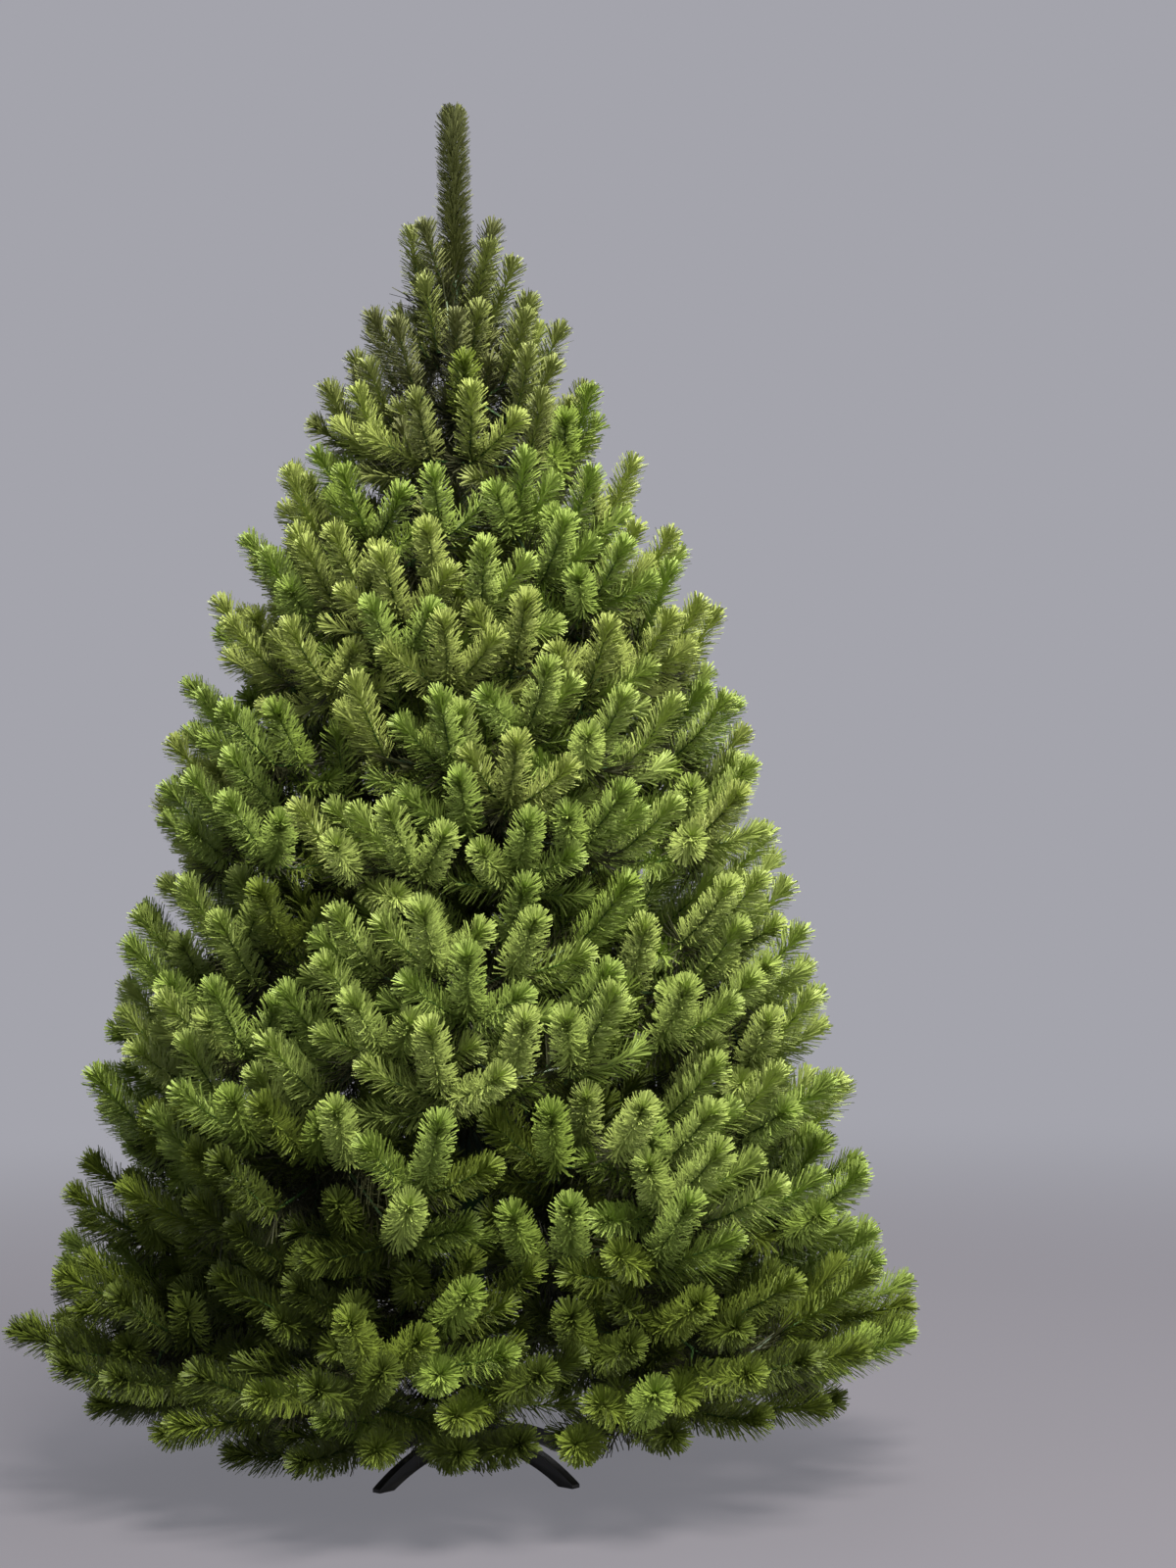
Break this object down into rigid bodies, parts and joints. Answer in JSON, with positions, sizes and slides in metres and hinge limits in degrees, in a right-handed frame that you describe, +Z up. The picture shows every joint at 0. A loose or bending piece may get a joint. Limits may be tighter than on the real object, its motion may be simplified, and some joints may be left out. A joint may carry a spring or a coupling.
{
  "type": "artificial christmas tree",
  "caption": "Bare artificial Christmas tree: steel pole, boughs and bottle-brush foliage on a folding four-legged stand.",
  "frame": {"origin": "on the axis of the pole at floor level, under the middle of the stand", "axes": "+Z up along the pole to the leader; the front of the tree faces -Y; the feet of the stand lie on the diagonals between X and Y"},
  "size_m": [1.194, 1.1999, 1.8],
  "materials": {
    "stand_paint": "dark green satin enamel",
    "pole_paint": "green satin enamel",
    "bough_paint": "green satin enamel",
    "collar_plastic": "moulded, matt",
    "zinc": "zinc plated",
    "needles": "cut film needles, soft sheen"
  },
  "bodies": {
    "root": {"bough_1_1": "bough_paint", "bough_1_2": "bough_paint", "bough_1_3": "bough_paint", "bough_1_4": "bough_paint", "bough_1_5": "bough_paint", "bough_1_6": "bough_paint", "bough_2_1": "bough_paint", "bough_2_2": "bough_paint", "bough_2_3": "bough_paint", "bough_2_4": "bough_paint", "bough_2_5": "bough_paint", "bough_3_1": "bough_paint", "bough_3_2": "bough_paint", "bough_3_3": "bough_paint", "bough_3_4": "bough_paint", "bough_3_5": "bough_paint", "bough_4_1": "bough_paint", "bough_4_2": "bough_paint", "bough_4_3": "bough_paint", "bough_4_4": "bough_paint", "branch_collar_1": "collar_plastic", "branch_collar_2": "collar_plastic", "branch_collar_3": "collar_plastic", "branch_collar_4": "collar_plastic", "foliage_1_1": "needles", "foliage_1_2": "needles", "foliage_1_3": "needles", "foliage_1_4": "needles", "foliage_1_5": "needles", "foliage_1_6": "needles", "foliage_2_1": "needles", "foliage_2_2": "needles", "foliage_2_3": "needles", "foliage_2_4": "needles", "foliage_2_5": "needles", "foliage_3_1": "needles", "foliage_3_2": "needles", "foliage_3_3": "needles", "foliage_3_4": "needles", "foliage_3_5": "needles", "foliage_4_1": "needles", "foliage_4_2": "needles", "foliage_4_3": "needles", "foliage_4_4": "needles", "foliage_5_1": "needles", "foliage_5_2": "needles", "foliage_5_3": "needles", "foliage_5_4": "needles", "foliage_6_1": "needles", "foliage_6_2": "needles", "foliage_6_3": "needles", "leader": "needles", "pole": "pole_paint", "stand_leg_1": "stand_paint", "stand_leg_2": "stand_paint", "stand_leg_3": "stand_paint", "stand_leg_4": "stand_paint", "stand_tube": "stand_paint", "thumb_screw_1": "zinc", "thumb_screw_2": "zinc"}
  },
  "joints": []
}
